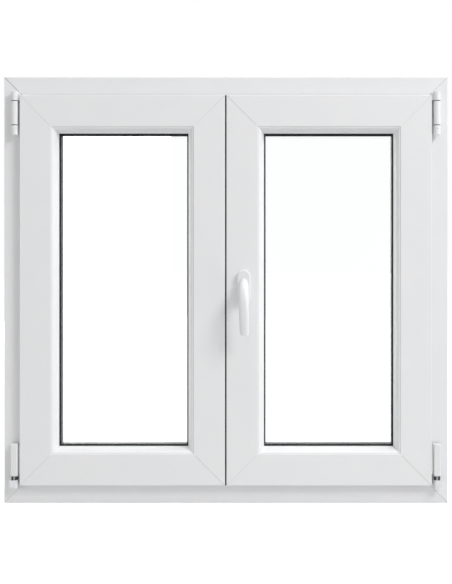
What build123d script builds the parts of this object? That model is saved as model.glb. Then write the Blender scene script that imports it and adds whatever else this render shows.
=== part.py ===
from build123d import *

import os
from math import atan, cos, pi, radians, sin, sqrt, tan

# Two-leaf casement window of white uPVC, millimetres. X runs to the right seen from the room,
# Y towards the weather and Z up. The origin is on the underside of the sill, at mid-width and
# mid-depth of the frame. Profile sections are drawn with local x inwards and local y along Y.

os.makedirs("parts", exist_ok=True)

# Overall size
frame_width = 900.0
frame_height = 864.0
frame_depth = 70.0

# Frame extrusion
wall = 2.8
web = 2.0
frame_face = 44.5
stop_height = 20.0
stop_thickness = 10.5
frame_edge_radius = 1.5
weld_groove = 0.8
anchor_groove_width = 8.0
anchor_groove_depth = 4.0
anchor_groove_spacing = 36.0

# How the leaves sit in the frame
side_lap = 10.0
head_lap = 6.0
leaf_gap = 3.0
lip_gap = 3.5
stop_gap = 3.5

# Sash extrusion
lip_width = 20.0
lip_thickness = 10.5
lip_nose = 8.0
sash_face = 62.0
sash_edge_radius = 1.2
face_chamber = 5.0
bead_hook = 3.0
bead_hook_thickness = 3.5
bead_width = 13.4
upstand_depth = 16.5
groove_width = 16.0
groove_depth = 9.0
groove_setback = 5.5
steel_chamber = 19.2

# Glazing
pane = 4.0
cavity = 16.0
glazing_gasket = 3.0
gasket_reveal = 3.0
weather_gasket_reveal = 2.4
spacer_width = 6.4
glass_block = 5.0
glass_block_length = 100.0
bead_line = 0.25
bead_recess = 1.4
bead_flat = 3.4
bead_lip = 1.9
bead_lip_height = 2.5
bead_mitre_gap = 0.1

# Seals in the gaps round the leaves
seal_groove_width = 3.0
seal_groove_depth = 2.2
seal_width = 4.5
seal_clearance = 0.3
seal_setback = 1.1

# Steel stiffeners
steel_wall = 2.0
steel_clearance = 0.5
steel_end = 6.0

# Hinges
hinge_offset = 10.9
hinge_standoff = 10.0
barrel_radius = 6.6
pin_radius = 3.5
pin_clearance = 0.05
knuckle_gap = 1.0
knuckle_radius = 0.7
eye_top = 31.0
eye_height = 18.0
bearing_height = 48.0
pin_head_height = 20.0
hinge_plate = 2.6
plate_clearance = 0.3
plate_start = 0.5
eye_neck = 3.0
stay_arm_length = 180.0
stay_arm_width = 18.0
rest_bottom = 34.0
rest_height = 15.5
rest_gap = 8.0
rest_shoulder = 2.4
clip_radius = 6.3
clip_mouth = 4.5
socket_radius = 5.2
socket_depth = 20.0
cover_height = 64.8
cover_width = 13.4
cover_depth = 12.9
cover_wall = 1.3

# Handle and lock gear
handle_height = 439.0
backset = 15.0
rosette_length = 68.0
rosette_width = 26.0
rosette_depth = 9.0
rosette_wall = 1.8
base_depth = 5.0
screw_spacing = 43.0
screw_radius = 2.4
spindle_size = 7.0
spindle_clearance = 0.05
boss_radius = 8.0
gear_module = 1.0
gear_teeth = 18
gear_width = 8.0
tooth_play = 0.3
tooth_height = 1.0
tooth_root = 1.25
rack_tooth_height = 0.95
pressure_angle = 20.0
handle_throw = 90.0
hub_radius = 5.0
rod_thickness = 2.0
rod_width = 9.6
rod_clearance = 0.3
faceplate = 2.5
faceplate_clearance = 0.2
faceplate_margin = 60.0
case_wall = 1.5
case_depth = 14.0
bolt_radius = 4.0
bolt_length = 28.0
bolt_clearance = 0.5
keep_thickness = 6.0
keep_length = 40.0
keep_play = 0.6
flush_bolt_length = 110.0
flush_bolt_travel = 14.0
tab_height = 8.0
tab_proud = 2.0
tab_width = 6.0

# Meeting stiles
astragal_edge = 4.2
astragal_room = -10.0
astragal_wall = 2.2
astragal_end = 2.0
fin_reach = 3.0
fin_thickness = 2.2
meeting_seal_depth = 5.0
meeting_seal_setback = 3.0

# Fixings and drainage
fixing_radius = 3.1
fixing_spacing = 464.0
drain_length = 25.0
drain_height = 5.0
drain_level = 20.0
drain_spacing = 500.0
drain_cap_length = 36.0
drain_cap_height = 13.0
drain_cap_depth = 4.0
drain_cap_wall = 1.0
drain_cap_taper = 12.0

# Levels through the window
room = -frame_depth / 2
weather = frame_depth / 2
stop_room = weather - stop_thickness
stop_edge = frame_face + stop_height
lip_back = room - lip_gap
sash_room = lip_back - lip_thickness
sash_weather = stop_room - stop_gap
groove_room = lip_back + groove_setback
groove_weather = groove_room + groove_width
upstand_room = sash_weather - upstand_depth
outer_pane_room = upstand_room - glazing_gasket - pane
inner_pane_weather = outer_pane_room - cavity
inner_pane_room = inner_pane_weather - pane
bead_back = inner_pane_room - glazing_gasket
hook_back = sash_room + bead_hook_thickness
frame_steel_depth = anchor_groove_spacing - anchor_groove_width - 2 * wall

# Distances in from the leaf's edge
rebate_base = sash_face - bead_hook
chamber_end = rebate_base - wall
sightline = sash_face + bead_width
glass_edge = rebate_base + glass_block
groove_bottom = lip_width + groove_depth
steel_start = groove_weather + wall
steel_finish = steel_start + steel_chamber

# Outer edges of the leaves
leaf_outer = frame_width / 2 - frame_face + side_lap
leaf_inner = leaf_gap / 2
leaf_bottom = frame_face - head_lap
leaf_top = frame_height - leaf_bottom
frame_rim = (-frame_width / 2, frame_width / 2, 0, frame_height)
leaf_rims = {
    "left": (-leaf_outer, -leaf_inner, leaf_bottom, leaf_top),
    "right": (leaf_inner, leaf_outer, leaf_bottom, leaf_top),
}
leaf_sides = {
    leaf: {"top_rail": "top", "bottom_rail": "bottom", "hinge_stile": leaf, "meeting_stile": other}
    for leaf, other in (("left", "right"), ("right", "left"))
}

# Axes
hinge_x = -leaf_outer - hinge_offset
hinge_y = room - hinge_standoff
handle_x = leaf_inner + lip_width + backset
gear_y = (groove_room + groove_weather) / 2
pitch_radius = gear_module * gear_teeth / 2
rod_travel = pitch_radius * radians(handle_throw)
bolt_x = leaf_inner + lip_width + faceplate + rod_clearance + rod_thickness


def save(piece, name):
    """Label a finished piece and write it under its own name."""
    piece.label = name
    export_step(piece, f"parts/{name}.step")


def facing(y):
    """Plane at depth y seen from the room: local x to the right, local y up."""
    return Plane.XZ.offset(-y)


def block(x_span, y_span, z_span, mode=Mode.ADD):
    """Box between two faces on each axis, joined to or cut from the piece being built."""
    centre = [(low + high) / 2 for low, high in (x_span, y_span, z_span)]
    with Locations(tuple(centre)):
        Box(x_span[1] - x_span[0], y_span[1] - y_span[0], z_span[1] - z_span[0], mode=mode)


def post(x, y, z_span, radius, mode=Mode.ADD):
    """Upright round post or bore."""
    with Locations((x, y, z_span[0])):
        Cylinder(
            radius,
            z_span[1] - z_span[0],
            align=(Align.CENTER, Align.CENTER, Align.MIN),
            mode=mode,
        )


def spigot(x, z, y_span, radius, mode=Mode.ADD):
    """Round spigot or bore running from the room towards the weather."""
    with BuildSketch(facing(y_span[0])) as circle:
        with Locations((x, z)):
            Circle(radius)
    extrude(circle.sketch, amount=y_span[0] - y_span[1], mode=mode)


def cut_slot(x_span, y_span):
    """Cut a rectangle between two edges on each axis out of the section being drawn."""
    with Locations(((x_span[0] + x_span[1]) / 2, (y_span[0] + y_span[1]) / 2)):
        Rectangle(x_span[1] - x_span[0], y_span[1] - y_span[0], mode=Mode.SUBTRACT)


def rim_sides(x_min, x_max, z_min, z_max):
    """Section plane and length of each side of a rectangular rim, local x pointing inwards."""
    x_mid = (x_min + x_max) / 2
    z_mid = (z_min + z_max) / 2
    return {
        "left": (Plane((x_min, 0, z_mid), x_dir=(1, 0, 0), z_dir=(0, 0, 1)), z_max - z_min),
        "right": (Plane((x_max, 0, z_mid), x_dir=(-1, 0, 0), z_dir=(0, 0, -1)), z_max - z_min),
        "top": (Plane((x_mid, 0, z_max), x_dir=(0, 0, -1), z_dir=(1, 0, 0)), x_max - x_min),
        "bottom": (Plane((x_mid, 0, z_min), x_dir=(0, 0, 1), z_dir=(-1, 0, 0)), x_max - x_min),
    }


def mitred_bar(section, side, gap=0.0, welded_faces=()):
    """Bar of a section along one side of a rim, cut at 45 degrees at both corners.

    The cleaned weld leaves half of a V groove along the mitre on each welded face.
    """
    plane, length = side
    diagonal = section.bounding_box().max.X * sqrt(2)
    with BuildPart() as bar:
        with BuildSketch(plane):
            add(section)
        extrude(amount=length / 2, both=True)
        for end in (1, -1):
            corner = plane.origin + plane.z_dir * (end * (length / 2 - gap))
            split(bisect_by=Plane(corner, z_dir=-plane.x_dir - plane.z_dir * end), keep=Keep.TOP)
            inwards = plane.x_dir - plane.z_dir * end
            for level in welded_faces:
                start = corner + plane.y_dir * level
                with BuildSketch(Plane(start, x_dir=plane.y_dir, z_dir=inwards)) as groove:
                    Rectangle(weld_groove, weld_groove, rotation=45)
                extrude(groove.sketch, amount=diagonal, mode=Mode.SUBTRACT)
    return bar.part


def square_bar(section, side, shortening):
    """Bar of a section along one side of a rim, cut square and shortened at both ends."""
    plane, length = side
    with BuildPart() as bar:
        with BuildSketch(plane):
            add(section)
        extrude(amount=length / 2 - shortening, both=True)
    return bar.part


def ring(rim, inset, width, y_span):
    """Flat rectangular ring lying inset from a rim, added to the piece being built."""
    x_min, x_max, z_min, z_max = rim
    with BuildSketch(facing(y_span[0])) as outline:
        with Locations(((x_min + x_max) / 2, (z_min + z_max) / 2)):
            Rectangle(x_max - x_min - 2 * inset, z_max - z_min - 2 * inset)
            hole = inset + width
            Rectangle(x_max - x_min - 2 * hole, z_max - z_min - 2 * hole, mode=Mode.SUBTRACT)
    extrude(outline.sketch, amount=y_span[0] - y_span[1])


def frame_section():
    """Frame profile: a five-chamber body with a stop on the weather side."""
    with BuildSketch() as section:
        with BuildLine():
            Polyline(
                (0, room),
                (frame_face, room),
                (frame_face, stop_room),
                (stop_edge, stop_room),
                (stop_edge, weather),
                (0, weather),
                close=True,
            )
        make_face()
        room_corners = section.vertices().group_by(Axis.Y)[0]
        weather_corners = section.vertices().group_by(Axis.Y)[-1]
        fillet(room_corners + weather_corners, frame_edge_radius)
        groove_levels = [side * anchor_groove_spacing / 2 for side in (-1, 1)]
        for level in groove_levels:
            half = anchor_groove_width / 2
            cut_slot((0, anchor_groove_depth), (level - half, level + half))
            cut_slot((anchor_groove_depth + wall, frame_face - wall), (level - half, level + half))
        groove_outer = (anchor_groove_spacing + anchor_groove_width) / 2 + wall
        cut_slot((wall, frame_face - wall), (room + wall, -groove_outer))
        cut_slot((wall, frame_face - wall), (-frame_steel_depth / 2, frame_steel_depth / 2))
        cut_slot((wall, stop_edge - wall), (stop_room + seal_groove_depth + web, weather - wall))
        seal_middle = stop_edge - seal_width / 2 - seal_setback
        cut_slot(
            (seal_middle - seal_groove_width / 2, seal_middle + seal_groove_width / 2),
            (stop_room, stop_room + seal_groove_depth),
        )
    return section.sketch


def sash_section():
    """Sash profile: lip, hardware groove, steel chamber, glazing rebate and weather upstand."""
    with BuildSketch() as section:
        with BuildLine():
            Polyline(
                (0, sash_room),
                (sash_face, sash_room),
                (sash_face, hook_back),
                (rebate_base, hook_back),
                (rebate_base, upstand_room),
                (sightline, upstand_room),
                (sightline, sash_weather),
                (lip_width, sash_weather),
                (lip_width, lip_back),
                (0, lip_back),
                close=True,
            )
        make_face()
        outer_room_corner = section.vertices().group_by(Axis.Y)[0].sort_by(Axis.X)[0]
        fillet(outer_room_corner, sash_edge_radius)
        weather_corners = section.vertices().group_by(Axis.Y)[-1]
        fillet(weather_corners, frame_edge_radius)
        cut_slot((lip_width, groove_bottom), (groove_room, groove_weather))
        seal_middle = seal_setback + seal_width / 2
        cut_slot(
            (seal_middle - seal_groove_width / 2, seal_middle + seal_groove_width / 2),
            (lip_back - seal_groove_depth, lip_back),
        )
        face_end = sash_room + wall + face_chamber
        cut_slot((lip_nose, chamber_end), (sash_room + wall, face_end))
        cut_slot((groove_bottom + wall, chamber_end), (face_end + web, groove_weather))
        cut_slot((lip_width + wall, chamber_end), (steel_start, steel_finish))
        cut_slot((lip_width + wall, chamber_end), (steel_finish + web, sash_weather - wall))
        cut_slot((chamber_end + web, sightline - wall), (upstand_room + wall + web, sash_weather - wall))
    return section.sketch


def bead_section():
    """Glazing bead: flat strip, rounded fall towards the glass, small lip, hooked heel, hollow core."""
    outer = sash_face + bead_line
    heel = rebate_base + bead_line / 2
    face = sash_room + bead_recess
    toe = hook_back + bead_line / 2
    lip_start = sightline - bead_lip
    lip_level = bead_back - bead_lip_height
    slope_end = lip_level - bead_lip_height / 2
    with BuildSketch() as section:
        with BuildLine():
            Line((outer, face), (outer + bead_flat, face))
            TangentArc((outer + bead_flat, face), (lip_start, slope_end), tangent=(1, 0.9))
            Polyline(
                (lip_start, slope_end),
                (sightline, lip_level),
                (sightline, bead_back),
                (heel, bead_back),
                (heel, toe),
                (outer, toe),
                (outer, face),
            )
        make_face()
        core_start = outer + web / 2
        with BuildLine():
            Polyline(
                (core_start, toe + web),
                (outer + bead_flat - web / 2, toe + web),
                (lip_start - web, slope_end),
                (lip_start - web, bead_back - web),
                (core_start, bead_back - web),
                close=True,
            )
        make_face(mode=Mode.SUBTRACT)
    return section.sketch


def seal_section(middle, face, gap, groove_side):
    """Bulb seal whose foot fills a groove: the bulb stands off its face by the gap less a clearance."""
    tip = face - groove_side * (gap - seal_clearance)
    foot = face + groove_side * (seal_groove_depth - seal_clearance)
    with BuildSketch() as section:
        with Locations((middle, (face + tip) / 2)):
            RectangleRounded(seal_width, gap - seal_clearance, seal_width / 4)
        with Locations((middle, (face + foot) / 2)):
            Rectangle(seal_groove_width - seal_clearance, abs(foot - face))
    return section.sketch


def tube_section(x_span, y_span):
    """Rectangular steel tube lying inside a chamber with clearance all round."""
    with BuildSketch() as section:
        centre = ((x_span[0] + x_span[1]) / 2, (y_span[0] + y_span[1]) / 2)
        width = x_span[1] - x_span[0] - 2 * steel_clearance
        depth = y_span[1] - y_span[0] - 2 * steel_clearance
        with Locations(centre):
            Rectangle(width, depth)
            Rectangle(width - 2 * steel_wall, depth - 2 * steel_wall, mode=Mode.SUBTRACT)
    return section.sketch


# Frame: four mitred members, stiffeners, stop seal and drainage
frame_profile = frame_section()
frame_bars = rim_sides(*frame_rim)
fixing_levels = [frame_height / 2 + side * fixing_spacing / 2 for side in (-1, 1)]
drain_places = [side * drain_spacing / 2 for side in (-1, 1)]

for name, side in (("head", "top"), ("sill", "bottom"), ("jamb_left", "left"), ("jamb_right", "right")):
    member_bar = mitred_bar(frame_profile, frame_bars[side], welded_faces=(room, weather))
    with BuildPart() as member:
        add(member_bar)
        if name == "sill":
            for place in drain_places:
                block(
                    (place - drain_length / 2, place + drain_length / 2),
                    (weather - wall, weather),
                    (drain_level, drain_level + drain_height),
                    mode=Mode.SUBTRACT,
                )
        if name.startswith("jamb"):
            for level in fixing_levels:
                with Locations(Location((0, 0, level), (0, 90, 0))):
                    Cylinder(fixing_radius, frame_width, mode=Mode.SUBTRACT)
    save(member.part, f"frame_{name}")

frame_tube = tube_section((wall, frame_face - wall), (-frame_steel_depth / 2, frame_steel_depth / 2))
frame_tubes = [square_bar(frame_tube, side, frame_face + steel_end) for side in frame_bars.values()]
with BuildPart() as frame_reinforcement:
    add(frame_tubes)
    for level in fixing_levels:
        with Locations(Location((0, 0, level), (0, 90, 0))):
            Cylinder(fixing_radius, frame_width, mode=Mode.SUBTRACT)
save(frame_reinforcement.part, "frame_reinforcement")

stop_seal = seal_section(stop_edge - seal_width / 2 - seal_setback, stop_room, stop_gap, 1)
stop_seal_bars = [mitred_bar(stop_seal, side) for side in frame_bars.values()]
with BuildPart() as frame_stop_gasket:
    add(stop_seal_bars)
save(frame_stop_gasket.part, "frame_stop_gasket")

with BuildPart() as drain_caps:
    for place in drain_places:
        with BuildSketch(facing(weather)) as cap_outline:
            with Locations((place, drain_level + drain_height / 2)):
                RectangleRounded(drain_cap_length, drain_cap_height, drain_cap_height / 4)
        extrude(cap_outline.sketch, amount=-drain_cap_depth, taper=drain_cap_taper)
        block(
            (place - drain_length / 2, place + drain_length / 2),
            (weather, weather + drain_cap_depth - drain_cap_wall),
            (drain_level - drain_cap_height, drain_level + drain_height),
            mode=Mode.SUBTRACT,
        )
save(drain_caps.part, "drain_caps")

# Keeps in the head and the sill for the bolts of both leaves
with BuildPart() as frame_keeps:
    for side in (-1, 1):
        for z_span in (
            (frame_height - frame_face - keep_thickness, frame_height - frame_face),
            (frame_face, frame_face + keep_thickness),
        ):
            x_keep = side * bolt_x
            block(
                (x_keep - keep_length / 2, x_keep + keep_length / 2),
                (groove_room, groove_weather),
                z_span,
            )
            post(x_keep, gear_y, z_span, bolt_radius + keep_play, mode=Mode.SUBTRACT)
save(frame_keeps.part, "frame_keeps")

# Leaves: four mitred members each, with stiffeners, glazing and seals
sash_profile = sash_section()
bead_profile = bead_section()
lip_seal = seal_section(seal_setback + seal_width / 2, lip_back, lip_gap, -1)
sash_tube = tube_section((lip_width + wall, chamber_end), (steel_start, steel_finish))
case_length = 2 * (2 * rod_travel + 2 * pitch_radius + 3 * case_wall)
case_z = (handle_height - case_length / 2, handle_height + case_length / 2)
case_y = (gear_y - case_depth / 2, gear_y + case_depth / 2)
case_x = (
    leaf_inner + lip_width + faceplate,
    handle_x + pitch_radius + tooth_root * gear_module + rod_thickness + 2 * rod_clearance + case_wall,
)
screw_hole = screw_radius + pin_clearance
screw_levels = [handle_height + side * screw_spacing / 2 for side in (-1, 1)]
plate_y = (lip_back + plate_clearance, lip_back + plate_clearance + hinge_plate)
plate_end = hinge_offset + lip_width
eye_z = (frame_height - eye_top - eye_height, frame_height - eye_top)
rest_top = rest_bottom + rest_height
cover_z = (rest_top + rest_gap, rest_top + rest_gap + cover_height)
socket_z = (cover_z[0] + 2 * cover_wall, cover_z[1] - 2 * cover_wall)

for leaf, rim in leaf_rims.items():
    bars = rim_sides(*rim)
    for member_name, side in leaf_sides[leaf].items():
        member_bar = mitred_bar(sash_profile, bars[side], welded_faces=(sash_room, sash_weather))
        with BuildPart() as sash_member:
            add(member_bar)
            if leaf == "right" and member_name == "meeting_stile":
                pocket_z = (case_z[0] - rod_clearance, case_z[1] + rod_clearance)
                pocket_y = (case_y[0] - rod_clearance, case_y[1] + rod_clearance)
                block((case_x[0], case_x[1] + rod_clearance), pocket_y, pocket_z, mode=Mode.SUBTRACT)
                spindle_hole = hub_radius + rod_clearance
                spigot(handle_x, handle_height, (sash_room, case_y[1]), spindle_hole, mode=Mode.SUBTRACT)
                for screw_z in screw_levels:
                    spigot(handle_x, screw_z, (sash_room, case_y[0]), screw_hole, mode=Mode.SUBTRACT)
        save(sash_member.part, f"{leaf}_{member_name}")

    tubes = [square_bar(sash_tube, side, sash_face + steel_end) for side in bars.values()]
    with BuildPart() as reinforcement:
        add(tubes)
    save(reinforcement.part, f"{leaf}_reinforcement")

    beads = [mitred_bar(bead_profile, side, bead_mitre_gap) for side in bars.values()]
    with BuildPart() as glazing_beads:
        add(beads)
    save(glazing_beads.part, f"{leaf}_glazing_beads")

    glass_rim_x = (rim[0] + glass_edge, rim[1] - glass_edge)
    glass_rim_z = (rim[2] + glass_edge, rim[3] - glass_edge)
    with BuildPart() as panes:
        block(glass_rim_x, (inner_pane_room, inner_pane_weather), glass_rim_z)
        block(glass_rim_x, (outer_pane_room, outer_pane_room + pane), glass_rim_z)
    save(panes.part, f"{leaf}_glass_panes")

    spacer_inset = sightline + gasket_reveal - spacer_width
    with BuildPart() as spacer:
        ring(rim, spacer_inset, spacer_width, (inner_pane_weather, outer_pane_room))
    save(spacer.part, f"{leaf}_glass_spacer")

    with BuildPart() as glazing_gaskets:
        gasket_inset = sightline - gasket_reveal
        ring(rim, gasket_inset, 2 * gasket_reveal, (bead_back, inner_pane_room))
        weather_gasket_width = gasket_reveal + weather_gasket_reveal
        ring(rim, gasket_inset, weather_gasket_width, (upstand_room - glazing_gasket, upstand_room))
    save(glazing_gaskets.part, f"{leaf}_glazing_gaskets")

    block_x = [rim[0] + glass_edge + glass_block_length / 2, rim[1] - glass_edge - glass_block_length / 2]
    block_z = [rim[2] + glass_edge + glass_block_length / 2, rim[3] - glass_edge - glass_block_length / 2]
    hinge_edge = (rim[0] + rebate_base, rim[0] + glass_edge)
    if leaf == "right":
        hinge_edge = (rim[1] - glass_edge, rim[1] - rebate_base)
    half_block = glass_block_length / 2
    block_y = (inner_pane_room, outer_pane_room + pane)
    with BuildPart() as glazing_blocks:
        for x_block in block_x:
            block(
                (x_block - half_block, x_block + half_block),
                block_y,
                (rim[2] + rebate_base, rim[2] + glass_edge),
            )
        for z_block in block_z:
            block(hinge_edge, block_y, (z_block - half_block, z_block + half_block))
    save(glazing_blocks.part, f"{leaf}_glazing_blocks")

    seal_sides = [bars[side] for name, side in leaf_sides[leaf].items() if name != "meeting_stile"]
    seal_bars = [mitred_bar(lip_seal, side) for side in seal_sides]
    hinge_reach = hinge_offset + lip_width + seal_clearance
    notch_x = (hinge_x, hinge_x + hinge_reach) if leaf == "left" else (-hinge_x - hinge_reach, -hinge_x)
    with BuildPart() as lip_gasket:
        add(seal_bars)
        for z_span in (eye_z, socket_z):
            notch_z = (z_span[0] - seal_clearance, z_span[1] + seal_clearance)
            block(notch_x, (sash_room, room), notch_z, mode=Mode.SUBTRACT)
    save(lip_gasket.part, f"{leaf}_lip_gasket")

# Hinges, drawn for the left leaf and mirrored for the right one
bearing_z = (eye_z[0] - knuckle_gap - bearing_height, eye_z[0] - knuckle_gap)
pin_head_z = (bearing_z[0] - knuckle_gap - pin_head_height, bearing_z[0] - knuckle_gap)
bore_radius = pin_radius + pin_clearance
arm_z = leaf_top - lip_width

for leaf in leaf_rims:
    with BuildPart() as stay_bearing:
        with BuildSketch(Plane.XY.offset(bearing_z[0])):
            with Locations((hinge_x, hinge_y)):
                Circle(barrel_radius)
            with Locations((hinge_x, (hinge_y + room) / 2)):
                Rectangle(2 * barrel_radius, hinge_standoff)
            with Locations((hinge_x, hinge_y)):
                Circle(bore_radius, mode=Mode.SUBTRACT)
        extrude(amount=bearing_height)
        fillet(stay_bearing.edges().filter_by(GeomType.CIRCLE).group_by(SortBy.RADIUS)[-1], knuckle_radius)
        if leaf == "right":
            mirror(about=Plane.YZ, mode=Mode.REPLACE)
    save(stay_bearing.part, f"{leaf}_stay_bearing")

    with BuildPart() as stay_pin:
        post(hinge_x, hinge_y, (pin_head_z[0], eye_z[1] - 2 * cover_wall), pin_radius)
        post(hinge_x, hinge_y, pin_head_z, barrel_radius)
        head_rims = stay_pin.edges().filter_by(GeomType.CIRCLE).group_by(SortBy.RADIUS)[-1].sort_by(Axis.Z)
        chamfer(head_rims[0], cover_wall)
        fillet(head_rims[-1], knuckle_radius)
        if leaf == "right":
            mirror(about=Plane.YZ, mode=Mode.REPLACE)
    save(stay_pin.part, f"{leaf}_stay_pin")

    with BuildPart() as stay_arm:
        with BuildSketch(Plane.XY.offset(eye_z[0])):
            with Locations((hinge_x, hinge_y)):
                Circle(barrel_radius)
        extrude(amount=eye_height)
        fillet(stay_arm.edges().filter_by(GeomType.CIRCLE), knuckle_radius)
        neck_x = (hinge_x + plate_start, hinge_x + barrel_radius + eye_neck)
        block(neck_x, (hinge_y, plate_y[1]), (eye_z[0] + knuckle_radius, eye_z[1] - knuckle_radius))
        block((neck_x[0], hinge_x + plate_end), plate_y, (eye_z[0], leaf_top - plate_start))
        post(hinge_x, hinge_y, (eye_z[0], eye_z[1] - cover_wall), bore_radius, mode=Mode.SUBTRACT)
        arm_start = hinge_x + plate_end - lip_width / 2 + plate_start
        block((arm_start, hinge_x + plate_end), plate_y, (arm_z, eye_z[0]))
        block(
            (arm_start, arm_start + stay_arm_length),
            (plate_y[0], plate_y[0] + stay_arm_width),
            (arm_z, arm_z + hinge_plate),
        )
        if leaf == "right":
            mirror(about=Plane.YZ, mode=Mode.REPLACE)
    save(stay_arm.part, f"{leaf}_stay_arm")

    with BuildPart() as corner_hinge:
        with BuildSketch(Plane.XY.offset(socket_z[0])):
            with Locations((hinge_x, hinge_y)):
                Circle(socket_radius)
            with BuildLine():
                Polyline(
                    (hinge_x + plate_start, hinge_y),
                    (hinge_x + socket_radius, hinge_y),
                    (hinge_x + socket_radius, plate_y[0]),
                    (hinge_x + plate_end, plate_y[0]),
                    (hinge_x + plate_end, plate_y[0] + stay_arm_width),
                    (hinge_x + plate_end - hinge_plate, plate_y[0] + stay_arm_width),
                    (hinge_x + plate_end - hinge_plate, plate_y[1]),
                    (hinge_x + plate_start, plate_y[1]),
                    close=True,
                )
            make_face()
        extrude(amount=socket_z[1] - socket_z[0])
        socket = (socket_z[0], socket_z[0] + socket_depth)
        post(hinge_x, hinge_y, socket, bore_radius, mode=Mode.SUBTRACT)
        if leaf == "right":
            mirror(about=Plane.YZ, mode=Mode.REPLACE)
    save(corner_hinge.part, f"{leaf}_corner_hinge")

    with BuildPart() as hinge_cover:
        cover_back = lip_back - plate_clearance / 2
        cover_front = cover_back - cover_depth
        half_cover = cover_width / 2
        block((hinge_x - half_cover, hinge_x + half_cover), (cover_front, cover_back), cover_z)
        front_edges = hinge_cover.edges().group_by(Axis.Y)[0]
        chamfer(front_edges, cover_wall)
        half_hollow = half_cover - cover_wall
        block(
            (hinge_x - half_hollow, hinge_x + half_hollow),
            (cover_front + cover_wall, cover_back),
            (cover_z[0], cover_z[1] - cover_wall),
            mode=Mode.SUBTRACT,
        )
        if leaf == "right":
            mirror(about=Plane.YZ, mode=Mode.REPLACE)
    save(hinge_cover.part, f"{leaf}_hinge_cover")

    with BuildPart() as corner_rest:
        with BuildSketch(Plane.XY.offset(rest_bottom)):
            with BuildLine():
                Polyline(
                    (hinge_x - barrel_radius - rest_shoulder, room),
                    (hinge_x - barrel_radius - rest_shoulder, hinge_y - barrel_radius),
                    (hinge_x + pin_radius, hinge_y - barrel_radius),
                    (hinge_x + barrel_radius, hinge_y),
                    (hinge_x + barrel_radius, room),
                    close=True,
                )
            make_face()
        extrude(amount=rest_height)
        post(hinge_x, hinge_y, (rest_top, socket_z[0] + socket_depth - plate_clearance), pin_radius)
        if leaf == "right":
            mirror(about=Plane.YZ, mode=Mode.REPLACE)
    save(corner_rest.part, f"{leaf}_corner_rest")

# Clips snapped round the lower hinge pins, open to the room, between the rests and the covers
with BuildPart() as pin_clips:
    for x_pin in (hinge_x, -hinge_x):
        with BuildSketch(Plane.XY.offset(rest_top)):
            with Locations((x_pin, hinge_y)):
                Circle(clip_radius)
                Circle(bore_radius, mode=Mode.SUBTRACT)
            with Locations((x_pin, hinge_y - clip_radius / 2)):
                Rectangle(clip_mouth, clip_radius, mode=Mode.SUBTRACT)
        extrude(amount=rest_gap - knuckle_gap)
save(pin_clips.part, "pin_clips")

# Meeting stiles: a hollow astragal and a fin seal on each leaf, and a seal in the gap between the lips
stile_edge = leaf_inner + lip_width
astragal_z = (frame_face + astragal_end, frame_height - frame_face - astragal_end)
for leaf, direction in (("left", -1), ("right", 1)):
    with BuildPart() as astragal:
        with BuildSketch(Plane.XY.offset(astragal_z[0])):
            astragal_x = direction * (astragal_edge + stile_edge) / 2
            with Locations((astragal_x, (astragal_room + sash_weather) / 2)):
                Rectangle(stile_edge - astragal_edge, sash_weather - astragal_room)
                Rectangle(
                    stile_edge - astragal_edge - 2 * astragal_wall,
                    sash_weather - astragal_room - 2 * astragal_wall,
                    mode=Mode.SUBTRACT,
                )
        extrude(amount=astragal_z[1] - astragal_z[0])
    save(astragal.part, f"{leaf}_astragal")

    with BuildPart() as meeting_seals:
        fin_x = sorted((direction * astragal_edge, direction * (astragal_edge - fin_reach)))
        block(fin_x, (astragal_room, astragal_room + fin_thickness), astragal_z)
        if leaf == "left":
            seal_room = sash_room + meeting_seal_setback
            block(
                (-leaf_inner, leaf_inner - seal_clearance),
                (seal_room, seal_room + meeting_seal_depth),
                (leaf_bottom, leaf_top),
            )
    save(meeting_seals.part, f"{leaf}_meeting_seals")

# Bolts: a flat rod behind a faceplate, ending in a round bolt that stands just short of its keep
rod_x = (stile_edge + faceplate + rod_clearance, stile_edge + faceplate + rod_clearance + rod_thickness)
rod_y = (gear_y - rod_width / 2, gear_y + rod_width / 2)
plate_groove_y = (groove_room + faceplate_clearance, groove_weather - faceplate_clearance)
head_keep = frame_height - frame_face - keep_thickness
sill_keep = frame_face + keep_thickness
top_bolt_z = (head_keep - bolt_clearance - bolt_length, head_keep - bolt_clearance)
bottom_bolt_z = (sill_keep + bolt_clearance, sill_keep + bolt_clearance + bolt_length)

# Left leaf: edge bolts slid by hand with a finger tab
left_rod_x = (-rod_x[1], -rod_x[0])
tab_x = (-rod_x[1], tab_proud - stile_edge)
slot_play = rod_clearance + flush_bolt_travel
flush_bolts = {
    "top": {
        "bolt": top_bolt_z,
        "rod": (top_bolt_z[0] - flush_bolt_length, top_bolt_z[1] - bolt_length / 2),
        "plate_end": top_bolt_z[0] - flush_bolt_travel - rod_clearance,
        "slot": (-slot_play, rod_clearance),
    },
    "bottom": {
        "bolt": bottom_bolt_z,
        "rod": (bottom_bolt_z[0] + bolt_length / 2, bottom_bolt_z[1] + flush_bolt_length),
        "plate_end": bottom_bolt_z[1] + flush_bolt_travel + rod_clearance,
        "slot": (-rod_clearance, slot_play),
    },
}
for end, spans in flush_bolts.items():
    tab_z = (sum(spans["rod"]) - tab_height) / 2
    spans["tab"] = (tab_z, tab_z + tab_height)
    with BuildPart() as flush_bolt:
        block(left_rod_x, rod_y, spans["rod"])
        post(-bolt_x, gear_y, spans["bolt"], bolt_radius)
        block(tab_x, (gear_y - tab_width / 2, gear_y + tab_width / 2), spans["tab"])
    save(flush_bolt.part, f"left_{end}_bolt")

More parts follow.
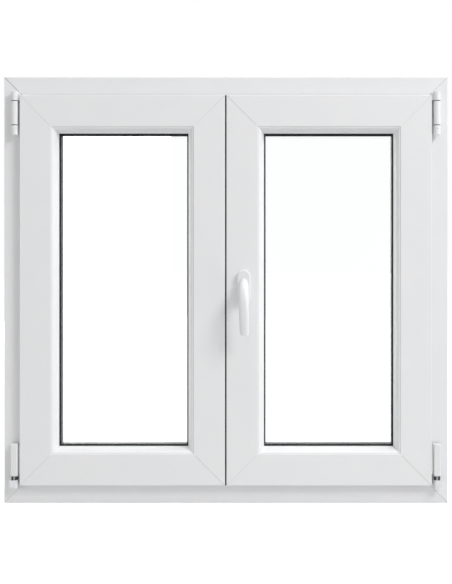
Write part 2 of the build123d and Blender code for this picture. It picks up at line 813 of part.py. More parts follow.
with BuildPart() as bolt_plates:
    for end, spans in flush_bolts.items():
        middle = sum(spans["rod"]) / 2
        plate_z = sorted((spans["plate_end"], 2 * middle - spans["plate_end"]))
        block((-stile_edge - faceplate, -stile_edge), plate_groove_y, plate_z)
        slot_z = (spans["tab"][0] + spans["slot"][0], spans["tab"][1] + spans["slot"][1])
        slot_half = tab_width / 2 + rod_clearance
        block(
            (-stile_edge - faceplate, -stile_edge),
            (gear_y - slot_half, gear_y + slot_half),
            slot_z,
            mode=Mode.SUBTRACT,
        )
save(bolt_plates.part, "left_bolt_plates")

# Right leaf: the handle turns a pinion between two racks, one on each lock rod
with BuildPart() as lock_faceplate:
    block(
        (stile_edge, stile_edge + faceplate),
        plate_groove_y,
        (leaf_bottom + faceplate_margin, leaf_top - faceplate_margin),
    )
save(lock_faceplate.part, "lock_faceplate")

with BuildPart() as gear_case:
    block(case_x, case_y, case_z)
    hollow_y = (case_y[0] + case_wall, case_y[1] - case_wall)
    block(
        (case_x[0], case_x[1] - case_wall),
        hollow_y,
        (case_z[0] + case_wall, case_z[1] - case_wall),
        mode=Mode.SUBTRACT,
    )
    block((case_x[0], rod_x[1] + rod_clearance), hollow_y, case_z, mode=Mode.SUBTRACT)
    spigot(handle_x, handle_height, case_y, hub_radius + pin_clearance, mode=Mode.SUBTRACT)
    for screw_z in screw_levels:
        spigot(handle_x, screw_z, (case_y[0], hollow_y[0]), screw_hole, mode=Mode.SUBTRACT)
save(gear_case.part, "gear_case")


def pinion_outline():
    """Corner points of an involute pinion: base circle, pitch circle and tip on each flank."""
    base = pitch_radius * cos(radians(pressure_angle))
    half_tooth = pi / (2 * gear_teeth) - tooth_play / (2 * pitch_radius)
    roll = tan(radians(pressure_angle))
    half_base = half_tooth + roll - atan(roll)
    flank = [(pitch_radius - tooth_root * gear_module, half_base)]
    for radius in (base, pitch_radius, pitch_radius + tooth_height * gear_module):
        roll = sqrt((radius / base) ** 2 - 1)
        flank.append((radius, half_base - roll + atan(roll)))
    points = []
    for tooth in range(gear_teeth):
        middle = 2 * pi * tooth / gear_teeth
        sides = [(r, middle - a) for r, a in flank] + [(r, middle + a) for r, a in reversed(flank)]
        points += [(r * cos(a), r * sin(a)) for r, a in sides]
    return points


def rack_outline(pitch_x, direction, back_x, z_first, tooth_count):
    """Corner points of a rack with straight flanks, its teeth pointing along direction."""
    pitch = pi * gear_module
    slope = tan(radians(pressure_angle))
    half = pitch / 4 - tooth_play / 2
    root = pitch_x - direction * tooth_root * gear_module
    tip = pitch_x + direction * rack_tooth_height * gear_module
    z_last = z_first + tooth_count * pitch
    points = [(back_x, z_first), (root, z_first)]
    for tooth in range(tooth_count):
        middle = z_first + (tooth + 0.5) * pitch
        points += [
            (root, middle - half - tooth_root * gear_module * slope),
            (tip, middle - half + rack_tooth_height * gear_module * slope),
            (tip, middle + half - rack_tooth_height * gear_module * slope),
            (root, middle + half + tooth_root * gear_module * slope),
        ]
    return points + [(root, z_last), (back_x, z_last)]


rack_pitch = pi * gear_module
engaged_teeth = 3
travel_teeth = int(rod_travel / rack_pitch) + 1
rack_teeth = 2 * engaged_teeth + travel_teeth
upper_rack_z = handle_height - engaged_teeth * rack_pitch
lower_rack_z = handle_height - (engaged_teeth + travel_teeth) * rack_pitch
left_pitch_x = handle_x - pitch_radius
right_pitch_x = handle_x + pitch_radius
right_back_x = right_pitch_x + tooth_root * gear_module + rod_thickness
arm_top = upper_rack_z - 2 * rod_travel - 2 * rod_clearance
arm_span = (arm_top - 3 * rod_thickness, arm_top)

with BuildPart() as upper_lock_rod:
    with BuildSketch(facing(rod_y[0])) as upper_rack:
        with BuildLine():
            Polyline(*rack_outline(left_pitch_x, 1, rod_x[0], upper_rack_z, rack_teeth), close=True)
        make_face()
    extrude(upper_rack.sketch, amount=-rod_width)
    block(rod_x, rod_y, (upper_rack_z + rack_teeth * rack_pitch, top_bolt_z[1] - bolt_length / 2))
    post(bolt_x, gear_y, top_bolt_z, bolt_radius)
save(upper_lock_rod.part, "upper_lock_rod")

with BuildPart() as lower_lock_rod:
    with BuildSketch(facing(rod_y[0])) as lower_rack:
        with BuildLine():
            Polyline(*rack_outline(right_pitch_x, -1, right_back_x, lower_rack_z, rack_teeth), close=True)
        make_face()
    extrude(lower_rack.sketch, amount=-rod_width)
    block((right_back_x - rod_thickness, right_back_x), rod_y, (arm_span[0], lower_rack_z))
    block((rod_x[0], right_back_x), rod_y, arm_span)
    block(rod_x, rod_y, (bottom_bolt_z[0] + bolt_length / 2, arm_span[0]))
    post(bolt_x, gear_y, bottom_bolt_z, bolt_radius)
save(lower_lock_rod.part, "lower_lock_rod")

with BuildPart() as pinion:
    pinion_y = (gear_y - gear_width / 2, gear_y + gear_width / 2)
    gear_plane = Plane((handle_x, pinion_y[0], handle_height), x_dir=(1, 0, 0), z_dir=(0, -1, 0))
    with BuildSketch(gear_plane) as gear_outline:
        with BuildLine():
            Polyline(*pinion_outline(), close=True)
        make_face()
    extrude(gear_outline.sketch, amount=-gear_width)
    spigot(handle_x, handle_height, case_y, hub_radius)
    socket_half = spindle_size / 2 + spindle_clearance
    block(
        (handle_x - socket_half, handle_x + socket_half),
        case_y,
        (handle_height - socket_half, handle_height + socket_half),
        mode=Mode.SUBTRACT,
    )
save(pinion.part, "pinion")

# Handle: base plate screwed to the gear case, a cap over it, and the lever on its square spindle
rosette_front = sash_room - rosette_depth
base_front = sash_room - base_depth
with BuildPart() as handle_base:
    with BuildSketch(facing(sash_room)):
        with Locations((handle_x, handle_height)):
            SlotOverall(
                rosette_length - 2 * (rosette_wall + rod_clearance),
                rosette_width - 2 * (rosette_wall + rod_clearance),
                rotation=90,
            )
            Circle(boss_radius + pin_clearance, mode=Mode.SUBTRACT)
            with GridLocations(0, screw_spacing, 1, 2):
                Circle(screw_hole, mode=Mode.SUBTRACT)
    extrude(amount=base_depth)
save(handle_base.part, "handle_base")

with BuildPart() as handle_rosette:
    with BuildSketch(facing(sash_room)):
        with Locations((handle_x, handle_height)):
            SlotOverall(rosette_length, rosette_width, rotation=90)
    extrude(amount=rosette_depth)
    fillet(handle_rosette.faces().sort_by(Axis.Y)[0].edges(), rosette_wall)
    with BuildSketch(facing(sash_room)):
        with Locations((handle_x, handle_height)):
            SlotOverall(rosette_length - 2 * rosette_wall, rosette_width - 2 * rosette_wall, rotation=90)
    extrude(amount=rosette_depth - rosette_wall, mode=Mode.SUBTRACT)
    spigot(
        handle_x,
        handle_height,
        (rosette_front, sash_room),
        boss_radius + rod_clearance,
        mode=Mode.SUBTRACT,
    )
save(handle_rosette.part, "handle_rosette")

with BuildPart() as handle_screws:
    for screw_z in screw_levels:
        spigot(handle_x, screw_z, (base_front, hollow_y[0]), screw_radius)
        spigot(handle_x, screw_z, (base_front - rosette_wall, base_front), 2 * screw_radius)
save(handle_screws.part, "handle_screws")

# Lever: oval sections from the rosette to the tip, each with its reach out from the rosette, its drop
# below the axis, its turn downwards in degrees, its width and its thickness
lever_seat = rosette_front - rod_clearance
lever_sections = [
    (0.0, 0.0, 0.0, 19.0, 36.0),
    (10.0, 1.0, 10.0, 19.6, 30.0),
    (21.0, 7.5, 40.0, 20.0, 21.0),
    (28.5, 21.0, 72.0, 19.4, 15.6),
    (30.5, 46.0, 90.0, 18.0, 14.0),
    (29.0, 76.0, 95.0, 16.8, 13.0),
    (27.0, 92.5, 97.0, 13.6, 10.0),
    (26.5, 96.5, 97.0, 7.0, 5.0),
]
with BuildPart() as handle_lever:
    for reach, drop, turn, width, thickness in lever_sections:
        section_plane = Plane(
            (handle_x, lever_seat - reach, handle_height - drop),
            x_dir=(1, 0, 0),
            z_dir=(0, -cos(radians(turn)), -sin(radians(turn))),
        )
        with BuildSketch(section_plane):
            Ellipse(width / 2, thickness / 2)
    loft()
    split(bisect_by=facing(lever_seat), keep=Keep.TOP)
    spigot(handle_x, handle_height, (lever_seat - case_wall, sash_room), boss_radius)
    block(
        (handle_x - socket_half, handle_x + socket_half),
        (lever_seat - boss_radius, sash_room),
        (handle_height - socket_half, handle_height + socket_half),
        mode=Mode.SUBTRACT,
    )
save(handle_lever.part, "handle_lever")

with BuildPart() as spindle:
    half_spindle = spindle_size / 2
    block(
        (handle_x - half_spindle, handle_x + half_spindle),
        (lever_seat - boss_radius, case_y[1]),
        (handle_height - half_spindle, handle_height + half_spindle),
    )
save(spindle.part, "spindle")
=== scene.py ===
import bmesh
import bpy
import numpy as np
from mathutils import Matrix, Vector


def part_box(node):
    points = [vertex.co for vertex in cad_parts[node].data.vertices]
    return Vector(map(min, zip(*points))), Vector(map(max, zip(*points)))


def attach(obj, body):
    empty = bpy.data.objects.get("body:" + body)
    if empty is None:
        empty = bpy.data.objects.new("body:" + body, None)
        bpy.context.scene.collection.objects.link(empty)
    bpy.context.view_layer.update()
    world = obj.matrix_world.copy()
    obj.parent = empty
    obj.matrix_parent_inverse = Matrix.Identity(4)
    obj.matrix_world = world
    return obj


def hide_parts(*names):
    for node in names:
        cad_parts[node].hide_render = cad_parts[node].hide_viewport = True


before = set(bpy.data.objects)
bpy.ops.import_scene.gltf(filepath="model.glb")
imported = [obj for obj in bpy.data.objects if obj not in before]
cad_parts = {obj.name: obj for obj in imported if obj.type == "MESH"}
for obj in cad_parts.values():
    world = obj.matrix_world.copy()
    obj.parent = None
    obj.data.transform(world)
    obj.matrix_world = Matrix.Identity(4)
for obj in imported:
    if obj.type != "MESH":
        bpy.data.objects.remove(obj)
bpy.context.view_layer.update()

# Looks of a white two-leaf casement window seen from the room. Metres, in the frame of the solids:
# X to the right, Y towards the weather, Z up, with the underside of the sill on the floor.
MM = 0.001

# The photograph: an upright picture that the window fills, level, from a little right of its middle
SENSOR = 36.0
LENS = 63.82
EYE = (0.1006, -2.135, 0.5476)
SHIFT = (-0.085, -0.101)

# Widths of the extrusions' faces and steps, and the rounds at their edges, where the welds stop
FRAME_FACE = 44.5 * MM
FRAME_STOP = 20.0 * MM
FRAME_ROUND = 1.5 * MM
SASH_FACE = 62.0 * MM
SASH_LIP = 20.0 * MM
SASH_ROUND = 1.2 * MM
SASH_INNER_ROUND = 1.8 * MM
SIGHTLINE = 75.4 * MM

# Widths in mm of the weld seams on the room face: left bottom, left top, right bottom, right top.
# Those at the top left and bottom right, whose grooves lie across the light, are wider as painted
# shade in the groove
FRAME_SEAM_SHADE_WIDTHS = (0.28, 1.0, 0.45, 0.3)
LEAF_SEAM_SHADE_WIDTHS = {"left": (0.2, 0.5, 0.8, 0.25), "right": (0.2, 0.8, 0.8, 0.25)}

SIDES = ("left", "right")
SMOOTH_ANGLE = np.radians(35.0)
MERGE_DISTANCE = 0.001 * MM
LINE_POINTS = 12
WHITE = "#FFFFFF"


def linear(hex_colour):
    """sRGB hex to linear RGBA: c / 12.92 up to 0.04045, else ((c + 0.055) / 1.055) to the 2.4."""
    c = np.array([int(hex_colour[i:i + 2], 16) for i in (1, 3, 5)]) / 255.0
    value = np.where(c <= 0.04045, c / 12.92, ((c + 0.055) / 1.055) ** 2.4)
    return (*value.tolist(), 1.0)


def add(tree, kind, sockets=None, **settings):
    """Add one node: settings are its properties, sockets are values or outputs to link in."""
    made = tree.nodes.new(kind)
    for name, value in settings.items():
        setattr(made, name, value)
    for name, value in (sockets or {}).items():
        if isinstance(value, bpy.types.NodeSocket):
            tree.links.new(value, made.inputs[name])
        else:
            made.inputs[name].default_value = value
    return made


def finish(name, colours, cloud_mm, grain, roughness, relief_mm, values=None):
    """A surface whose colour drifts in clouds and whose gloss and relief follow a finer grain.

    Clouds and grain are noise of scale 1 in coordinates divided by the size in mm of a blotch along
    X, Y and Z. A grain may also be a function of the tree and the coordinates, from 0 to 1. The
    middle half of the grain's values spans the roughness. values are the shader's even values.
    """
    material = bpy.data.materials.new(name)
    material.use_nodes = True
    tree = material.node_tree
    shader = tree.nodes["Principled BSDF"]
    place = add(tree, "ShaderNodeTexCoord").outputs["Object"]
    patterns = []
    for pattern in (cloud_mm, grain):
        if callable(pattern):
            patterns.append(pattern(tree, place))
            continue
        scale = tuple(1.0 / (size * MM) for size in pattern)
        fitted = add(tree, "ShaderNodeMapping", {"Vector": place, "Scale": scale}).outputs["Vector"]
        noise = add(tree, "ShaderNodeTexNoise", {"Vector": fitted, "Scale": 1.0})
        patterns.append(noise.outputs["Fac"])
    cloud, fine = patterns
    # A Mix node of colours has its factor and two colours at inputs 0, 6 and 7, its result at 2
    shades = {0: cloud, 6: linear(colours[0]), 7: linear(colours[1])}
    colour = add(tree, "ShaderNodeMix", shades, data_type="RGBA").outputs[2]
    spread = {"Value": fine, "From Min": 0.25, "From Max": 0.75,
              "To Min": roughness[0], "To Max": roughness[1]}
    gloss = add(tree, "ShaderNodeMapRange", spread).outputs["Result"]
    linked = {"Base Color": colour, "Roughness": gloss}
    if relief_mm:
        relief = {"Height": fine, "Distance": relief_mm * MM}
        linked["Normal"] = add(tree, "ShaderNodeBump", relief).outputs["Normal"]
    for socket, value in linked.items():
        tree.links.new(value, shader.inputs[socket])
    for socket, value in (values or {}).items():
        shader.inputs[socket].default_value = value
    return material


def cross_ribs(tree, place):
    """Waves 2 mm apart, as rolled into the spacer bar. At scale 1 the node's period is 0.314."""
    spacing, period = 2.0 * MM, 0.314
    ribs = {"Vector": place, "Scale": period / spacing}
    return add(tree, "ShaderNodeTexWave", ribs, bands_direction="DIAGONAL").outputs["Fac"]


def zinc_crystals(tree, place):
    """Flat crystals 8 mm across, each with its own shade."""
    across = 8.0 * MM
    cells = add(tree, "ShaderNodeTexVoronoi", {"Vector": place, "Scale": 1.0 / across})
    return add(tree, "ShaderNodeSeparateColor", {"Color": cells.outputs["Color"]}).outputs["Red"]


PVC = {"IOR": 1.53}
METAL = {"Metallic": 1.0}
FLOAT_GLASS = {"IOR": 1.52, "Transmission Weight": 1.0}
DULL_RUBBER = {"Specular IOR Level": 0.08}
FINISHES = {
    # Rigid PVC drawn through a die and cut to length: satin white with an even fine grain
    "white_upvc": finish("upvc_white_strip", ("#F2F2F3", "#EEEFF0"), (60, 60, 60), (3, 3, 3),
                         (0.36, 0.39), 0.003, PVC),
    # Powder coat baked on die-cast metal: glossier white, with the orange peel of the flowed powder
    "white_coated_metal": finish("powder_coat_white", ("#EDEDEF", "#E9EAEB"), (25, 25, 25),
                                 (2.2, 2.2, 2.2), (0.29, 0.31), 0.001),
    # Black extruded EPDM rubber: dull and hardly glossy, dusted grey where it is handled
    "epdm": finish("epdm_rubber_black", ("#26282A", "#343638"), (9, 9, 9), (0.8, 0.8, 0.8),
                   (0.55, 0.72), 0.01, DULL_RUBBER),
    # Black moulded nylon: dull, with the fine eroded grain of its mould
    "black_plastic": finish("nylon_moulding_black", ("#121314", "#1C1D1F"), (4, 4, 4),
                            (0.7, 0.7, 0.7), (0.42, 0.55), 0.01),
    # Clear float glass: smooth and almost colourless, with a trace of wiping marks in its gloss
    "clear_glass": finish("float_glass_clear", ("#FFFFFF", "#FDFFFE"), (300, 300, 300),
                          (120, 120, 35), (0.0, 0.012), 0.0, FLOAT_GLASS),
    # Warm-edge spacer of dark plastic: dull, with the fine cross ribs of the rolled bar
    "spacer_bar": finish("spacer_plastic_dark", ("#1A1B1C", "#26282A"), (5, 5, 5), cross_ribs,
                         (0.5, 0.65), 0.05),
    # Moulded polypropylene packers under the glass: mid blue, slightly streaked along the flow
    "packer_plastic": finish("packer_plastic_blue", ("#4C6F93", "#577B9E"), (40, 8, 8), (6, 6, 6),
                             (0.4, 0.55), 0.01),
    # Hot-dip galvanised strip: grey metal with the flat crystals of the zinc
    "galvanised_steel": finish("galvanised_steel", ("#A9ADB0", "#C3C7CA"), (12, 12, 12),
                               zinc_crystals, (0.32, 0.5), 0.0, METAL),
    # Bright zinc plating, clear passivated: drawn silver, faintly blue and yellow by turns
    "zinc_plated_steel": finish("zinc_plating_bright", ("#C9CDD2", "#D6D3C8"), (12, 12, 12),
                                (1.2, 1.2, 60), (0.26, 0.4), 0.004, METAL),
}
# The long bars show the die's faint lines along their length, 2.5 mm apart
BAR_COLOURS = ("#F1F1F2", "#EDEEEF")
LEVEL_UPVC = finish("upvc_white_level_bars", BAR_COLOURS, (70, 70, 70), (400, 2.5, 2.5),
                    (0.38, 0.41), 0.004, PVC)
UPRIGHT_UPVC = finish("upvc_white_upright_bars", BAR_COLOURS, (70, 70, 70), (2.5, 2.5, 400),
                      (0.38, 0.41), 0.004, PVC)
# Weld bead left in the cleaned corner groove: PVC that the knife has dulled and dust has greyed,
# and grey that also stands in as painted shade in the groove
WELD_SEAM_AND_SHADE = finish("upvc_weld_seam_and_shade_grey", ("#BABBBD", "#CACBCD"), (15, 15, 15), (1, 1, 1),
                   (0.6, 0.8), 0.02, PVC)
# Dust in the joints at the beads and in the frame's weld grooves, and painted shade: a dull grey
# line that stands in for the shade in the grooves and along the bead joints on the sides turned
# from the light
JOINT_DUST_AND_SHADE = finish("joint_dust_and_shade_grey", ("#88898B", "#9A9B9D"), (15, 15, 15), (1, 1, 1),
                    (0.7, 0.9), 0.02)
LEVEL_BARS = ("head", "sill", "rail")
UPRIGHT_BARS = ("jamb_left", "jamb_right", "stile", "astragal")

for name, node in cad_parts.items():
    material = FINISHES[node.material_slots[0].material.name]
    if name.endswith(LEVEL_BARS):
        material = LEVEL_UPVC
    if name.endswith(UPRIGHT_BARS):
        material = UPRIGHT_UPVC
    node.material_slots[0].material = material
    if name.endswith("glass_panes"):
        node.visible_shadow = False


def new_piece(name, grids, material, body):
    """One mesh of several grids of points, each rows x columns x 3 with its rows closed.

    A quad joins each point to the next in its row and to the two in the row below. Points that
    meet, as at poles, are merged, and edges sharper than SMOOTH_ANGLE stay sharp.
    """
    points, quads, first = [], [], 0
    for grid in grids:
        rows, columns, _ = grid.shape
        i, j = np.meshgrid(np.arange(rows - 1), np.arange(columns), indexing="ij")
        here, following = i * columns + j, i * columns + (j + 1) % columns
        corners = (here, following, following + columns, here + columns)
        quads.append(first + np.stack(corners, axis=-1).reshape(-1, 4))
        points.append(grid.reshape(-1, 3))
        first += rows * columns
    mesh = bpy.data.meshes.new(name)
    mesh.from_pydata(np.concatenate(points).tolist(), [], np.concatenate(quads).tolist())
    shell = bmesh.new()
    shell.from_mesh(mesh)
    bmesh.ops.remove_doubles(shell, verts=shell.verts, dist=MERGE_DISTANCE)
    bmesh.ops.recalc_face_normals(shell, faces=shell.faces)
    shell.to_mesh(mesh)
    shell.free()
    mesh.shade_smooth()
    mesh.set_sharp_from_angle(angle=SMOOTH_ANGLE)
    mesh.materials.append(material)
    made = bpy.data.objects.new(name, mesh)
    bpy.context.scene.collection.objects.link(made)
    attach(made, body)
    return made


def full_turn(points):
    """Angles of points spread evenly round a full turn."""
    return np.linspace(0.0, 2 * np.pi, points, endpoint=False)


def smooth_rows(table, count):
    """Rows between a table's rows: Hermite cubics, whose slope at a row is half the way between the
    rows on either side of it, and at an end row the way to the next one.
    """
    last = len(table) - 1
    place = np.linspace(0.0, last, count)
    start = np.minimum(place.astype(int), last - 1)
    t = (place - start)[:, None]
    slope = np.gradient(table, axis=0)
    from_start = (2 * t**3 - 3 * t**2 + 1) * table[start] + (t**3 - 2 * t**2 + t) * slope[start]
    from_end = (3 * t**2 - 2 * t**3) * table[start + 1] + (t**3 - t**2) * slope[start + 1]
    return from_start + from_end


def lever():
    """Cranked lever: superellipse sections |x/a|^n + |y/b|^n = 1 along a path from rosette to tip.

    Each row of the table gives reach out from the rosette and drop below the axis, the section's
    downward turn in degrees, its width and thickness, and n. Lengths are in mm. The tip closes in a
    quarter ellipse, and the grip leans a little towards the hinges, as it hangs in the photograph.
    A round boss under it fills the rosette.
    """
    table = np.array([
        (0.0, 0.0, 0.0, 19.0, 36.0, 2.0),
        (10.0, 1.0, 10.0, 19.6, 30.0, 2.1),
        (21.0, 7.5, 40.0, 20.0, 21.0, 2.2),
        (28.5, 21.0, 72.0, 20.0, 15.6, 2.3),
        (30.4, 40.0, 88.0, 19.8, 14.0, 2.4),
        (29.0, 64.0, 95.0, 19.4, 13.2, 2.4),
        (26.6, 82.0, 99.0, 18.6, 12.0, 2.4),
        (25.2, 90.5, 100.0, 17.0, 10.8, 2.4),
    ])
    tip_length = 5.8
    lean = np.tan(np.radians(1.6))
    seat_gap, boss_gap, boss_radius = 0.3, 0.05, 8.0
    body_rows, tip_rows, columns = 90, 13, 56

    body = smooth_rows(table, body_rows)
    closing = np.linspace(0.0, 1.0, tip_rows + 1)[1:, None]
    tip = np.repeat(body[-1:], tip_rows, axis=0)
    tip[:, 1:2] += tip_length * closing
    tip[:, 3:5] *= np.sqrt(1.0 - closing**2)
    seat = body[:1] * (1, 1, 1, 0, 0, 1)
    path = np.concatenate((seat, body, tip))
    reach, drop, turn, width, thickness, power = path.T[:, :, None]
    turn = np.radians(turn)
    c, s = np.cos(full_turn(columns)), np.sin(full_turn(columns))
    across = width / 2 * np.sign(c) * np.abs(c) ** (2 / power)
    depth = thickness / 2 * np.sign(s) * np.abs(s) ** (2 / power)

    low, high = np.array(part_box("handle_rosette")) / MM
    axis = (low + high) / 2
    seat_y = low[1] - seat_gap
    x = axis[0] + across + lean * drop
    y = np.minimum(seat_y - reach - depth * np.sin(turn), seat_y)
    z = axis[2] - drop + depth * np.cos(turn)
    grip = np.stack((x, y, z), axis=-1)

    boss_r = np.array((0.0, boss_radius, boss_radius, 0.0))[:, None]
    boss_y = np.array((seat_y, seat_y, high[1], high[1]))[:, None] - boss_gap + 0 * c
    boss = np.stack((axis[0] + boss_r * c, boss_y, axis[2] + boss_r * s), axis=-1)
    made = new_piece("lever_grip", [grip * MM, boss * MM], FINISHES["white_coated_metal"],
                     "handle")
    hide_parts("handle_lever")


def mitred_ring(low, high, inset, level, top_share=1.0):
    """A section carried round an upright rectangle: grids for the left, bottom, right and top.

    At each corner a point at inset s moves by s along both sides. Along the top the section is
    stretched to top_share of its width.
    """
    corners = ((low[0], low[2], 1, 1), (high[0], low[2], -1, 1),
               (high[0], high[2], -1, -top_share), (low[0], high[2], 1, -top_share))
    rings = [np.stack((x + way_x * inset, level, z + way_z * inset), axis=-1)
             for x, z, way_x, way_z in corners]
    return [np.stack((rings[k - 1], rings[k])) for k in range(len(corners))]


def gasket_lips(side):
    """Glazing gaskets: a wedge whose free edge is a quarter ellipse from cover strip to glass.

    It is carried round the panes on both faces. On the room face it is drawn wider along the top,
    as painted shade under the top bead.
    """
    low, high = np.array(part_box(f"{side}_glazing_gaskets"))
    covered, height, flap_points = 3.0 * MM, 3.0 * MM, 10
    # The 1.4 stretches the black lip along the top as painted shade under the top bead
    room = (3.0 * MM, low[1], low[1] + height, 1.4)
    weather = (2.4 * MM, high[1], high[1] - height, 1.0)
    flap = np.linspace(0.0, np.pi / 2, flap_points)
    grids = []
    for shown, cover_y, glass_y, top_share in (room, weather):
        inset = np.concatenate(((0.0,), covered + shown * np.sin(flap), (0.0,)))
        free_edge = glass_y + (cover_y - glass_y) * np.cos(flap)
        level = np.concatenate(((cover_y,), free_edge, (glass_y,)))
        grids += mitred_ring(low, high, inset, level, top_share)
    made = new_piece(f"{side}_gasket_lips", grids, FINISHES["epdm"], f"{side}_leaf")
    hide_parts(f"{side}_glazing_gaskets")


def sash_edges(side):
    """The sash's rounded inner edge beside the beads, and the joint at its foot.

    The edge is an arc of a circle from the face down to the beads' flat strip, closed underneath
    and carried round the opening. The joint is a flat ellipse of dark grey carried up the right
    side and along the top only, the sides turned from the light, as painted shade, and each of its
    ends closes to a point.
    """
    low, high = np.array(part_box(f"{side}_glazing_beads"))
    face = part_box(f"{side}_top_rail")[0][1]
    start, radius, sunk, arc_points = 2.87 * MM, 1.7 * MM, 0.05 * MM, 8
    fall = np.arccos(1.0 - (low[1] - face) / radius)
    turn = np.linspace(0.0, fall, arc_points)
    inset = start + np.concatenate((radius * np.sin(turn), (radius * np.sin(fall), 0.0)))
    level = np.concatenate((face + radius * (1.0 - np.cos(turn)), np.full(2, low[1] + sunk)))
    new_piece(f"{side}_sash_edges", mitred_ring(low, high, inset, level), FINISHES["white_upvc"],
              f"{side}_leaf")

    stand_off, half_width, half_height = 0.1 * MM, 0.3 * MM, 0.1 * MM
    foot = inset.max() + stand_off
    turn = full_turn(LINE_POINTS)
    inset, level = foot + half_width * np.cos(turn), low[1] + half_height * np.sin(turn)
    # Only the right and top runs are drawn: a dark joint line as painted shade on the sides turned
    # from the light
    right, top = mitred_ring(low, high, inset, level)[2:]
    near_end, far_end = (np.full_like(row, row.mean(axis=0)) for row in (right[0], top[-1]))
    runs = [np.concatenate((near_end[None], right)), np.concatenate((top, far_end[None]))]
    new_piece(f"{side}_bead_joint_shade", runs, JOINT_DUST_AND_SHADE, f"{side}_leaf")


def hinge_gap_shade_washers(side):
    """Black nylon washers in the gaps above and below the bearing, whose dark rims stand in for the
    shade in the gaps: a section turned about the pin, whose rim spreads into the knuckles' rounded
    edges.
    """
    low, high = np.array(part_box(f"{side}_stay_bearing"))
    axis = np.array(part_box(f"{side}_stay_pin")).mean(axis=0)
    half_gap, columns = 0.5 * MM, 48
    # Radius and half thickness in mm, from the bore out to the rim
    section = np.array(((3.55, 0.45), (5.85, 0.45), (6.25, 0.56), (6.5, 0.8))) * MM
    section = np.concatenate((section, section[::-1] * (1, -1), section[:1]))
    radius, rise = section.T[:, :, None]
    turn = full_turn(columns)
    x = axis[0] + radius * np.cos(turn)
    y = axis[1] + radius * np.sin(turn)
    # The washers' black rims, as wide as the knuckles, darken the gaps as painted shade
    grids = [np.stack((x, y, level + rise + 0 * turn), axis=-1)
             for level in (low[2] - half_gap, high[2] + half_gap)]
    new_piece(f"{side}_hinge_gap_shade_washers", grids, FINISHES["black_plastic"], "frame")


def seam(corner, way, span, face_y, inwards, width):
    """Weld seam along a mitre: a thin lens section swept in a straight line, lying in the V groove.

    The line runs from the bars' outer corner at 45 degrees, between two insets. The groove's walls
    slope by 45 degrees, so a seam of width w lies (groove width - w) / 2 below the face.
    """
    groove_width, thickness = 1.13 * MM, 0.2 * MM
    turn = full_turn(LINE_POINTS)
    half = np.sqrt(0.5) * width / 2
    inset = np.array((span[0], span[0], span[1], span[1]))[:, None]
    size = np.array((0.0, 1.0, 1.0, 0.0))[:, None]
    x = corner[0] + way[0] * (inset + half * size * np.cos(turn))
    z = corner[1] + way[1] * (inset - half * size * np.cos(turn))
    y = face_y + inwards * (groove_width - width) / 2 + thickness / 2 * size * np.sin(turn)
    return np.stack((x, y, z), axis=-1)


def weld_seams(name, members, body, material, room_span, weather_span, room_shade_widths_mm):
    """Seams at the four corners of a set of bars, on the room face and on the weather face.

    On the room face each seam has its own width, wider at the top left and bottom right, whose
    grooves lie across the light: painted shade in the groove.
    """
    boxes = np.array([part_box(member) for member in members])
    low, high = boxes[:, 0].min(axis=0), boxes[:, 1].max(axis=0)
    weather_width = 0.35 * MM
    places = [((x, z), (way_x, way_z)) for x, way_x in ((low[0], 1), (high[0], -1))
              for z, way_z in ((low[2], 1), (high[2], -1))]
    grids = []
    # Room seams take the per-corner widths; the wider ones are painted shade of the groove
    for (corner, way), width in zip(places, room_shade_widths_mm):
        grids.append(seam(corner, way, room_span, low[1], 1, width * MM))
        grids.append(seam(corner, way, weather_span, high[1], -1, weather_width))
    new_piece(name, grids, material, body)


def screw_head(place, out, radius, height):
    """Pan head with a cross recess: a height over polar coordinates, a dome less two crossed slots.

    Of its height, the dome falls as 1 - 0.6 (r/R)^4 and its skirt drops into the plate. Each slot
    takes a share off, within its half width and its reach, and its walls slope over an edge.
    """
    rings, columns = 18, 64
    crown, fall, skirt = 0.96, 0.6, -0.2
    slot_depth, half_width, reach, edge = 0.75, 0.12, 0.6, 0.06
    share = np.concatenate((np.linspace(0.0, crown, rings), (1.0, 1.0)))[:, None]
    turn = full_turn(columns)
    u, v = share * np.cos(turn), share * np.sin(turn)
    dome = 1.0 - fall * share**4
    dome[-1] = skirt
    slots = []
    for along, across in ((u, v), (v, u)):
        inside = np.clip((half_width - np.abs(across)) / edge + 0.5, 0, 1)
        inside *= np.clip((reach - np.abs(along)) / (2 * edge) + 0.5, 0, 1)
        slots.append(inside)
    rise = height * (dome - slot_depth * np.maximum(*slots))
    out = np.array(out, float)
    sideways = abs(out[2]) < 0.5
    first = np.cross(out, (0.0, 0.0, 1.0)) if sideways else np.array((1.0, 0.0, 0.0))
    second = np.cross(out, first)
    flat = u[..., None] * first + v[..., None] * second
    return np.array(place) + radius * flat + rise[..., None] * out


